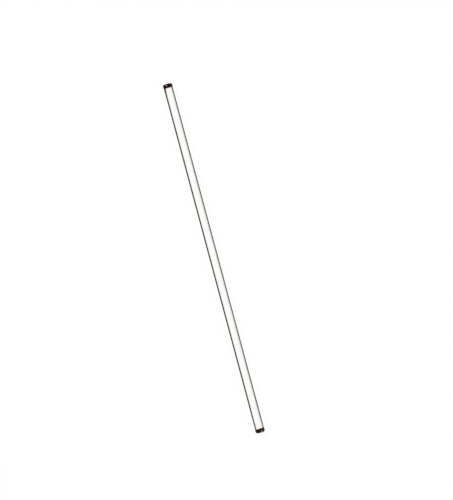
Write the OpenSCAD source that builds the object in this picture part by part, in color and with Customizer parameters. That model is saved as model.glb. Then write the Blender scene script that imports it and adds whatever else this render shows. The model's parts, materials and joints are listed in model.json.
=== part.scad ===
/* [Rod] */
// Diameter of the straight shank
rod_d = 5; // [4:0.5:8]
// Overall length, tip to tip
rod_l = 200; // [100:1:400]

/* [Melted ends] */
// Radius of the shallow crown that the end face takes
crown_r = 15; // [8:1:40]
// Radius of the melted corner between the end face and the side
corner_r = 1.2; // [0.8:0.1:1.5]
// Length of the neck, from the widest part of the end to the straight shank
neck_l = 1.3; // [1:0.1:3]
// How far the wider end stands proud of the shank, on the radius
wide_swell = 0.18; // [0.05:0.01:0.25]
// How far the narrower end stands proud of the shank, on the radius
narrow_swell = 0.13; // [0.05:0.01:0.25]

/* [Hidden] */
shank_r = rod_d / 2;
// Straight steps in each arc of the outline
arc_steps = 12;
// Steps round the rod
round_steps = 96;
// Length of each end's own solid, from its tip to well past the foot of its neck
root_l = 10;
// How far the shank and an end's solid run into each other
overlap = 1;

// Points on an arc round a centre, from one angle to another, with both its ends
function arc(centre, r, from, to) = [
    for (i = [0:arc_steps])
        let (a = from + (to - from) * i / arc_steps)
        centre + r * [cos(a), sin(a)]
];

// All but the first point, which the arc before it has given already
function after_first(points) = [for (i = [1:len(points) - 1]) points[i]];

// The outline of one end, from its tip at the origin down to the foot of its neck.
// Four arcs, each tangent to the next: crown, corner, swell and neck.
function end_outline(swell) =
    let (
        end_r = shank_r + swell,
        // The corner arc touches the side of the end, and the crown arc from inside.
        corner_x = end_r - corner_r,
        corner_y = sqrt(pow(crown_r - corner_r, 2) - pow(corner_x, 2)) - crown_r,
        joint_angle = acos(corner_x / (crown_r - corner_r)),
        // The swell and the neck share one radius, and their S falls by neck_l.
        s_r = (pow(neck_l, 2) + pow(swell, 2)) / (4 * swell),
        s_angle = asin(neck_l / (2 * s_r)),
        crown = arc([0, -crown_r], crown_r, 90, joint_angle),
        corner = arc([corner_x, corner_y], corner_r, joint_angle, 0),
        swell_side = arc([end_r - s_r, corner_y], s_r, 0, -s_angle),
        neck = arc([shank_r + s_r, corner_y - neck_l], s_r, 180 - s_angle, 180)
    )
    concat(crown, after_first(corner), after_first(swell_side), after_first(neck));

// One melted end, with its tip at the origin and enough shank below it to sink into the rod
module melted_end(swell) {
    rotate_extrude($fn = round_steps)
    polygon(concat(end_outline(swell), [[shank_r, -root_l], [0, -root_l]]));
}

// The rod lies along X, with its wider end at +X and its middle at the origin.
module rod() {
    shank_l = rod_l - 2 * (root_l - overlap);
    color([0.90, 0.94, 0.92, 0.45])
    rotate([0, 90, 0]) {
        translate([0, 0, rod_l / 2]) melted_end(wide_swell);
        cylinder(h = shank_l, r = shank_r, center = true, $fn = round_steps);
        rotate([180, 0, 0]) translate([0, 0, rod_l / 2]) melted_end(narrow_swell);
    }
}

rod();
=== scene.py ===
import json
import math
import bpy
import bmesh
from mathutils import Matrix, Vector


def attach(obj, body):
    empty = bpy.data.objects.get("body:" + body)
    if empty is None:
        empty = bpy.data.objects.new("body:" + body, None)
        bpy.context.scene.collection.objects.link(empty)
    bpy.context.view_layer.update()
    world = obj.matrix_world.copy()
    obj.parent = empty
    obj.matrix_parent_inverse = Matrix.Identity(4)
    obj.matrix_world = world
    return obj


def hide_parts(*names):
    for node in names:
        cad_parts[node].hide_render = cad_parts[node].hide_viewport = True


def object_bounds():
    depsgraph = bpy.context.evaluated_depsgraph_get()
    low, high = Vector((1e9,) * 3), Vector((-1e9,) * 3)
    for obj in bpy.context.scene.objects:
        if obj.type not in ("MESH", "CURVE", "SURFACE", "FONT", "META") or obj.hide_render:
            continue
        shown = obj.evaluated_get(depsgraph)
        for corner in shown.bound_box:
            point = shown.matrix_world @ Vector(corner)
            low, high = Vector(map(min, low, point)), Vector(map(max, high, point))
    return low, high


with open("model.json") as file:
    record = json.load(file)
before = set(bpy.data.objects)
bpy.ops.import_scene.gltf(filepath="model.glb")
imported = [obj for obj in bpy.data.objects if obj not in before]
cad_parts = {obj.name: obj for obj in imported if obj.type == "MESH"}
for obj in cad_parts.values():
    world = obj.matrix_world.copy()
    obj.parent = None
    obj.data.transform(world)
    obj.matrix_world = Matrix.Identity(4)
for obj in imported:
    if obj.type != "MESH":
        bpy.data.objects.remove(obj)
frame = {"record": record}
cadLow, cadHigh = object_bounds()
scene = bpy.context.scene
mm = 0.001


def newMaterial(name):
    material = bpy.data.materials.new(name)
    material.use_nodes = True
    material.node_tree.nodes.clear()
    return material


def addNode(tree, kind, **settings):
    node = tree.nodes.new(kind)
    for key, value in settings.items():
        setattr(node, key, value)
    return node


def feed(tree, socket, value):
    # another node's output is linked, and anything else becomes the socket's own value
    if isinstance(value, bpy.types.NodeSocket):
        tree.links.new(value, socket)
    else:
        socket.default_value = value


def rangeNode(tree, value, fromMin, fromMax, toMin=0, toMax=1):
    # eases from toMin to toMax while the value goes from fromMin to fromMax
    node = addNode(tree, "ShaderNodeMapRange", interpolation_type="SMOOTHSTEP")
    feed(tree, node.inputs["Value"], value)
    feed(tree, node.inputs["From Min"], fromMin)
    feed(tree, node.inputs["From Max"], fromMax)
    feed(tree, node.inputs["To Min"], toMin)
    feed(tree, node.inputs["To Max"], toMax)
    return node.outputs["Result"]


def mathNode(tree, operation, *values):
    node = addNode(tree, "ShaderNodeMath", operation=operation)
    for socket, value in zip(node.inputs, values):
        feed(tree, socket, value)
    return node.outputs[0]


mixSockets = {"FLOAT": (2, 3, 0), "RGBA": (6, 7, 2)}  # a Mix node's two inputs and its output


def mixNode(tree, share, first, second, kind="RGBA", blend="MIX"):
    node = addNode(tree, "ShaderNodeMix", data_type=kind, blend_type=blend)
    firstIn, secondIn, out = mixSockets[kind]
    feed(tree, node.inputs[0], share)
    feed(tree, node.inputs[firstIn], first)
    feed(tree, node.inputs[secondIn], second)
    return node.outputs[out]


def noiseNode(tree, place, scale):
    node = addNode(tree, "ShaderNodeTexNoise")
    node.inputs["Scale"].default_value = scale
    tree.links.new(place, node.inputs["Vector"])
    return node.outputs[0]


# The same four arcs as the solid's, spun much finer, because glass shows every facet.
rodSize = {
    "length": cadHigh.x - cadLow.x,
    "shankRadius": frame["record"]["mounts"][0]["dims"]["r_mm"] * mm,
    "crownRadius": 15 * mm,
    "cornerRadius": 1.2 * mm,
    "neckLength": 1.3 * mm,
    "wideSwell": 0.18 * mm,
    "narrowSwell": 0.13 * mm,
    "arcSteps": 24,
    "aroundSteps": 192,
    "mergeWithin": 0.0005 * mm,
}


def turnOn(bm, vert, centre, angle, steps):
    # carries the outline on along an arc in the XZ plane, and gives back its new last point
    made = bmesh.ops.spin(bm, geom=[vert], cent=centre, axis=(0, 1, 0), dvec=(0, 0, 0),
                          angle=angle, steps=steps, use_merge=False, use_normal_flip=False,
                          use_duplicate=False)
    return [v for v in made["geom_last"] if isinstance(v, bmesh.types.BMVert)][0]


def endArcs(swell):
    # centre along the rod from the tip, centre off the axis, and angle of each arc, tip first
    shank = rodSize["shankRadius"]
    crown = rodSize["crownRadius"]
    corner = rodSize["cornerRadius"]
    neck = rodSize["neckLength"]
    endRadius = shank + swell
    cornerOut = endRadius - corner
    cornerIn = crown - math.sqrt((crown - corner) ** 2 - cornerOut ** 2)
    crownTurn = math.asin(cornerOut / (crown - corner))
    bend = (neck ** 2 + swell ** 2) / (4 * swell)
    bendTurn = math.asin(neck / (2 * bend))
    return [
        (crown, 0, crownTurn),
        (cornerIn, cornerOut, math.pi / 2 - crownTurn),
        (cornerIn, endRadius - bend, bendTurn),
        (cornerIn + neck, shank + bend, -bendTurn),
    ]


def makeRod():
    bm = bmesh.new()
    tip = rodSize["length"] / 2
    last = bmesh.ops.create_vert(bm, co=(tip, 0, 0))["vert"][0]
    for inward, out, angle in endArcs(rodSize["wideSwell"]):
        last = turnOn(bm, last, (tip - inward, 0, out), -angle, rodSize["arcSteps"])
    # the straight shank, as far as the foot of the other neck
    arcs = endArcs(rodSize["narrowSwell"])
    made = bmesh.ops.extrude_vert_indiv(bm, verts=[last])
    last = made["verts"][0]
    last.co.x = -tip + arcs[-1][0]
    for inward, out, angle in reversed(arcs):
        last = turnOn(bm, last, (-tip + inward, 0, out), -angle, rodSize["arcSteps"])
    bmesh.ops.spin(bm, geom=bm.verts[:] + bm.edges[:], cent=(0, 0, 0), axis=(1, 0, 0),
                   dvec=(0, 0, 0), angle=2 * math.pi, steps=rodSize["aroundSteps"], use_merge=True,
                   use_normal_flip=False, use_duplicate=False)
    bmesh.ops.remove_doubles(bm, verts=bm.verts[:], dist=rodSize["mergeWithin"])
    bmesh.ops.recalc_face_normals(bm, faces=bm.faces[:])
    for face in bm.faces:
        face.smooth = True
    mesh = bpy.data.meshes.new("stirringRod")
    bm.to_mesh(mesh)
    bm.free()
    rod = bpy.data.objects.new("stirringRod", mesh)
    scene.collection.objects.link(rod)
    return rod


# Left is +Y, and colours are written in linear light.
glassLook = {
    "ior": 1.473,
    "roughness": 0.0,
    "clear": (0.998, 1.0, 0.977, 1),
    "streaks": 700.0,                   # faint drawn streaks along the shank
    "streakStretch": 0.02,
    "streakAmount": 0.015,
    "paintedRightShade": (0.918, 0.918, 0.903, 1),   # painted shade: what the right side lets through
    "paintedRightShadeFull": 1.1 * mm,               # how far off the axis that is reached
    # painted shade: the near-black rim colour stands for the dark surroundings that the rod's sides
    # refract, and the left rim is darker as the light falls
    "edge": (0.004, 0.004, 0.0035, 1),
    "leftRim": (0.145, 0.425),          # where the painted dark rim starts and where it is full
    "rightRim": (0.10, 0.56),
    "sideBlend": 1.0 * mm,              # the two sides' rims blend within this distance of the axis
    "endRim": 0.1,                      # how much sooner the rim starts on the melted ends
    "wideNeckRim": 0.108,               # and on the left beside the wide end's painted dark glass
    "wideNeckFade": 2.15 * mm,          # dying away along the shank over about this length
    "narrowNecks": [                    # and beside the narrow end, where it is finer
        # side, how much sooner, and from where to where that comes in, as distances from the tip
        ("right", -0.045, 6.3 * mm, 2.3 * mm),
        ("left", -0.019, 17.0 * mm, 8.0 * mm),
        ("left", -0.05, 3.6 * mm, 2.6 * mm),
    ],
    # The dark brown ends are painted shade: they stand for the dark surroundings that the melted ends
    # refract.
    "paintedEndShadeLength": 2.3 * mm,
    "paintedEndShadeFade": 0.25 * mm,
    "paintedEndShadeSkew": 0.36 * mm,             # how much longer the painted shade of the ends is on one side
    "skewAt": 1.77 * mm,                # at this distance off the axis
    "skewPower": 3,                     # how steeply that grows away from the axis
    "widePaintedEndShade": (0.017, 0.003, 0.001, 1),
    "narrowPaintedEndShade": (0.0115, 0.0045, 0.001, 1),
    "widePaintedEndShadeEdge": (0.009, 0.0015, 0.0008, 1),
    "narrowPaintedEndShadeEdge": (0.007, 0.003, 0.001, 1),
    "mottle": 900.0,
    "mottleAmount": 0.4,
    "noiseSpan": (0.3, 0.7),            # the middle values of the noise, which draw the patterns
    "warm": (1.0, 0.90, 0.86, 1),       # the tinge beside the painted dark ends
    "warmLength": 1.4 * mm,
    "endShine": 1.55,                   # refractive index of the glossy skin on the melted ends
    "leastAcross": 0.01,                # keeps the rim steady in a look straight along the rod
}
paintedEndShadeFrom = rodSize["length"] / 2 - glassLook["paintedEndShadeLength"]


def paintedEndShadeReach(tree, x, y):
    # distance from the middle, whichever end, with a slant that makes the painted shade of the ends
    # reach further on one side, as the light falls
    off = mathNode(tree, "DIVIDE", mathNode(tree, "ABSOLUTE", y), glassLook["skewAt"])
    steep = mathNode(tree, "POWER", off, glassLook["skewPower"])
    slant = mathNode(tree, "MULTIPLY", steep, glassLook["paintedEndShadeSkew"])
    whichWay = mathNode(tree, "SIGN", mathNode(tree, "MULTIPLY", x, y))
    return mathNode(tree, "MULTIPLY_ADD", slant, whichWay, mathNode(tree, "ABSOLUTE", x))


def facingNode(tree, direction=None):
    # how squarely the surface, or a fixed direction in its place, faces the eye
    node = addNode(tree, "ShaderNodeLayerWeight")
    node.inputs["Blend"].default_value = 0.5
    if direction:
        fixed = addNode(tree, "ShaderNodeCombineXYZ")
        for socket, value in zip(fixed.inputs, direction):
            socket.default_value = value
        tree.links.new(fixed.outputs[0], node.inputs["Normal"])
    return mathNode(tree, "SUBTRACT", 1, node.outputs["Facing"])


def edgeOnNode(tree):
    # 0 where the wall faces the eye and 1 where it is seen edge on. It goes by the angle round
    # the rod alone, so that a look along the rod doesn't darken all of it.
    lengthwise = facingNode(tree, (1, 0, 0))
    squared = mathNode(tree, "MULTIPLY", lengthwise, lengthwise)
    across = mathNode(tree, "SQRT", mathNode(tree, "SUBTRACT", 1, squared))
    across = mathNode(tree, "MAXIMUM", across, glassLook["leastAcross"])
    facing = mathNode(tree, "MINIMUM", mathNode(tree, "DIVIDE", facingNode(tree), across), 1)
    return mathNode(tree, "SUBTRACT", 1, facing)


def paintedNeckShade(tree, x):
    # how much sooner the painted dark rim starts near the ends, on the right and on the left, as
    # painted shade beside the dark ends
    tip = rodSize["length"] / 2
    away = mathNode(tree, "SUBTRACT", x, paintedEndShadeFrom)
    wide = mathNode(tree, "EXPONENT", mathNode(tree, "DIVIDE", away, glassLook["wideNeckFade"]))
    sides = {"right": 0, "left": mathNode(tree, "MULTIPLY", wide, glassLook["wideNeckRim"])}
    for side, amount, begin, full in glassLook["narrowNecks"]:
        sooner = rangeNode(tree, x, begin - tip, full - tip, 0, amount)
        sides[side] = mathNode(tree, "ADD", sides[side], sooner)
    return sides["right"], sides["left"]


def paintedEdgeShade(tree, x, y, paintedEndShade):
    # painted shade: the dark line that clear rod shows along each side, standing for the dark
    # surroundings it refracts there
    leftward = rangeNode(tree, y, -glassLook["sideBlend"], glassLook["sideBlend"])
    neck = mixNode(tree, leftward, *paintedNeckShade(tree, x), kind="FLOAT")
    sooner = mixNode(tree, paintedEndShade, neck, glassLook["endRim"], kind="FLOAT")
    edgeOn = mathNode(tree, "ADD", edgeOnNode(tree), sooner)
    right = rangeNode(tree, edgeOn, *glassLook["rightRim"])
    left = rangeNode(tree, edgeOn, *glassLook["leftRim"])
    return mixNode(tree, leftward, right, left, kind="FLOAT")


def clearColour(tree, place, y, reach):
    stretch = addNode(tree, "ShaderNodeMapping")
    stretch.inputs["Scale"].default_value = (glassLook["streakStretch"], 1, 1)
    tree.links.new(place, stretch.inputs["Vector"])
    streaks = noiseNode(tree, stretch.outputs["Vector"], glassLook["streaks"])
    streaks = rangeNode(tree, streaks, *glassLook["noiseSpan"])
    streaked = [channel * (1 - glassLook["streakAmount"]) for channel in glassLook["clear"][:3]]
    clear = mixNode(tree, streaks, glassLook["clear"], streaked + [1])
    # painted shade, growing from the axis towards the right side
    paintedRightShadeMask = rangeNode(tree, y, 0, -glassLook["paintedRightShadeFull"])
    clear = mixNode(tree, paintedRightShadeMask, clear, glassLook["paintedRightShade"], blend="MULTIPLY")
    near = rangeNode(tree, reach, paintedEndShadeFrom - glassLook["warmLength"], paintedEndShadeFrom)
    return mixNode(tree, near, clear, glassLook["warm"], blend="MULTIPLY")


def paintedEndShadeColour(tree, place, wideEnd):
    # painted shade of the ends, in brown, deeper or lighter at random
    brown = mixNode(tree, wideEnd, glassLook["narrowPaintedEndShade"], glassLook["widePaintedEndShade"])
    amount = glassLook["mottleAmount"]
    spots = noiseNode(tree, place, glassLook["mottle"])
    depth = rangeNode(tree, spots, *glassLook["noiseSpan"], 1 - amount, 1 + amount)
    mottled = addNode(tree, "ShaderNodeVectorMath", operation="SCALE")
    tree.links.new(brown, mottled.inputs[0])
    tree.links.new(depth, mottled.inputs["Scale"])
    return mottled.outputs[0]


def makeGlass():
    glass = newMaterial("clearGlass")
    tree = glass.node_tree
    link = tree.links.new
    place = addNode(tree, "ShaderNodeTexCoord").outputs["Object"]
    split = addNode(tree, "ShaderNodeSeparateXYZ")
    link(place, split.inputs[0])
    x = split.outputs["X"]
    y = split.outputs["Y"]
    reach = paintedEndShadeReach(tree, x, y)
    halfFade = glassLook["paintedEndShadeFade"] / 2
    # where the ends carry their painted shade
    paintedEndShade = rangeNode(tree, reach, paintedEndShadeFrom - halfFade, paintedEndShadeFrom + halfFade)
    wideEnd = mathNode(tree, "GREATER_THAN", x, 0)

    shader = addNode(tree, "ShaderNodeBsdfPrincipled")
    shader.inputs["Transmission Weight"].default_value = 1
    shader.inputs["IOR"].default_value = glassLook["ior"]
    shader.inputs["Roughness"].default_value = glassLook["roughness"]
    clear = clearColour(tree, place, y, reach)
    brown = paintedEndShadeColour(tree, place, wideEnd)
    link(mixNode(tree, paintedEndShade, clear, brown), shader.inputs["Base Color"])
    # the melted skin shines more than the shank
    shader.inputs["Coat IOR"].default_value = glassLook["endShine"]
    shader.inputs["Coat Roughness"].default_value = 0
    link(paintedEndShade, shader.inputs["Coat Weight"])

    # painted shade: a near-black matt shader for the dark rim, browner on the ends
    edge = addNode(tree, "ShaderNodeBsdfDiffuse")
    paintedEndShadeEdge = mixNode(tree, wideEnd, glassLook["narrowPaintedEndShadeEdge"], glassLook["widePaintedEndShadeEdge"])
    link(mixNode(tree, paintedEndShade, glassLook["edge"], paintedEndShadeEdge), edge.inputs["Color"])

    both = addNode(tree, "ShaderNodeMixShader")
    link(paintedEdgeShade(tree, x, y, paintedEndShade), both.inputs[0])
    link(shader.outputs["BSDF"], both.inputs[1])
    link(edge.outputs["BSDF"], both.inputs[2])
    out = addNode(tree, "ShaderNodeOutputMaterial")
    link(both.outputs[0], out.inputs["Surface"])
    return glass


rod = makeRod()
rod.data.materials.append(makeGlass())
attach(rod, "root")
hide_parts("rod")
print("rod made:", len(rod.data.polygons), "faces")


studio = {
    "floorHalf": 12.0,
    "floorColor": (0.93, 0.93, 0.925, 1),
    "white": 1.01,          # how white the floor and the backdrop look
    "throughGlass": 1.105,  # and the floor through the rod
    "shadowShare": 0.06,    # how much of the matt floor, and so of the shadow, shows near the rod
    "shadowTo": 0.8,        # and how far out it shows
    "paleUpTo": 0.05,       # the backdrop is white up to here and dim from there, as heights on the sky
    "dimFrom": 0.3,
    "ceiling": 0.06,
}


def seenRay(tree, path):
    # 1 where the eye, a reflection or a look through glass meets the surface,
    # and 0 for the light that it sends on
    seen = mathNode(tree, "MAXIMUM", path.outputs["Is Camera Ray"], path.outputs["Is Glossy Ray"])
    return mathNode(tree, "MAXIMUM", seen, path.outputs["Is Transmission Ray"])


def makePaper():
    paper = newMaterial("whitePaper")
    tree = paper.node_tree
    link = tree.links.new
    matt = addNode(tree, "ShaderNodeBsdfDiffuse")
    matt.inputs["Color"].default_value = studio["floorColor"]
    path = addNode(tree, "ShaderNodeLightPath")
    glow = addNode(tree, "ShaderNodeEmission")
    strength = rangeNode(tree, path.outputs["Is Transmission Ray"], 0, 1,
                         studio["white"], studio["throughGlass"])
    link(strength, glow.inputs["Strength"])
    # the shadow is only looked for near the rod, and the far floor runs into the backdrop
    place = addNode(tree, "ShaderNodeTexCoord").outputs["Object"]
    away = addNode(tree, "ShaderNodeVectorMath", operation="LENGTH")
    link(place, away.inputs[0])
    white = rangeNode(tree, away.outputs["Value"], studio["shadowTo"] / 2, studio["shadowTo"],
                      1 - studio["shadowShare"], 1)
    both = addNode(tree, "ShaderNodeMixShader")
    link(mathNode(tree, "MULTIPLY", seenRay(tree, path), white), both.inputs[0])
    link(matt.outputs[0], both.inputs[1])
    link(glow.outputs[0], both.inputs[2])
    out = addNode(tree, "ShaderNodeOutputMaterial")
    link(both.outputs[0], out.inputs["Surface"])
    return paper


def makeFloor():
    bm = bmesh.new()
    bmesh.ops.create_grid(bm, x_segments=1, y_segments=1, size=studio["floorHalf"])
    under = -rodSize["shankRadius"] - rodSize["wideSwell"]
    bmesh.ops.translate(bm, verts=bm.verts[:], vec=(0, 0, under))
    mesh = bpy.data.meshes.new("floor")
    bm.to_mesh(mesh)
    bm.free()
    mesh.materials.append(makePaper())
    floor = bpy.data.objects.new("floor", mesh)
    scene.collection.objects.link(floor)


def makeWorld():
    # pale near the horizon, where a low camera sees it, and dim overhead as in a studio
    world = bpy.data.worlds.new("studio")
    world.use_nodes = True
    tree = world.node_tree
    tree.nodes.clear()
    link = tree.links.new
    split = addNode(tree, "ShaderNodeSeparateXYZ")
    link(addNode(tree, "ShaderNodeTexCoord").outputs["Generated"], split.inputs[0])
    level = rangeNode(tree, split.outputs["Z"], studio["paleUpTo"], studio["dimFrom"],
                      studio["white"], studio["ceiling"])
    sky = addNode(tree, "ShaderNodeBackground")
    link(level, sky.inputs["Color"])
    out = addNode(tree, "ShaderNodeOutputWorld")
    link(sky.outputs[0], out.inputs["Surface"])
    scene.world = world


softboxes = {
    "distance": 1.2,
    "panels": [
        # degrees round from the wide end to the left, degrees up, width, height, radiance
        (44, 46, 0.60, 0.60, 10.5),
        (219, 36, 0.50, 0.55, 9.8),
    ],
}


def makeSoftboxes():
    for number, (bearing, up, width, height, radiance) in enumerate(softboxes["panels"]):
        data = bpy.data.lights.new(f"softbox{number}", "AREA")
        data.shape = "RECTANGLE"
        data.size = width
        data.size_y = height
        data.energy = radiance * width * height * math.pi
        lamp = bpy.data.objects.new(data.name, data)
        scene.collection.objects.link(lamp)
        turn = math.radians(bearing)
        rise = math.radians(up)
        away = Vector((math.cos(rise) * math.cos(turn), math.cos(rise) * math.sin(turn),
                       math.sin(rise)))
        lamp.location = away * softboxes["distance"]
        lamp.rotation_mode = "QUATERNION"
        lamp.rotation_quaternion = away.to_track_quat("Z", "Y")
        lamp.visible_camera = False


makeFloor()
makeWorld()
makeSoftboxes()
print("studio made")


# Straight down, with the rod leaning to the left in the frame.
cameraView = {
    "lens": 400,
    "nearest": 0.1,
    "lean": math.radians(15.0),
    "frameHeight": 500,     # pixels
    "rodInFrame": 361.25,   # the rod's length in pixels
    "aside": 12.6,          # pixels from the middle of the rod to the middle of the frame
    "above": 8.25,
}


def makeCamera():
    data = bpy.data.cameras.new("camera")
    data.lens = cameraView["lens"]
    data.clip_start = cameraView["nearest"]
    camera = bpy.data.objects.new("camera", data)
    scene.collection.objects.link(camera)
    lean = cameraView["lean"]
    up = Vector((math.cos(lean), -math.sin(lean), 0))
    right = Vector((-math.sin(lean), -math.cos(lean), 0))
    back = Vector((0, 0, 1))
    pixel = rodSize["length"] / cameraView["rodInFrame"]
    aim = (right * cameraView["aside"] + up * cameraView["above"]) * pixel
    away = cameraView["frameHeight"] * pixel * data.lens / data.sensor_width
    turn = Matrix((right, up, back)).transposed().to_4x4()
    camera.matrix_world = Matrix.Translation(aim + back * away) @ turn
    scene.camera = camera


makeCamera()
scene.view_settings.view_transform = "Standard"
print("camera made")
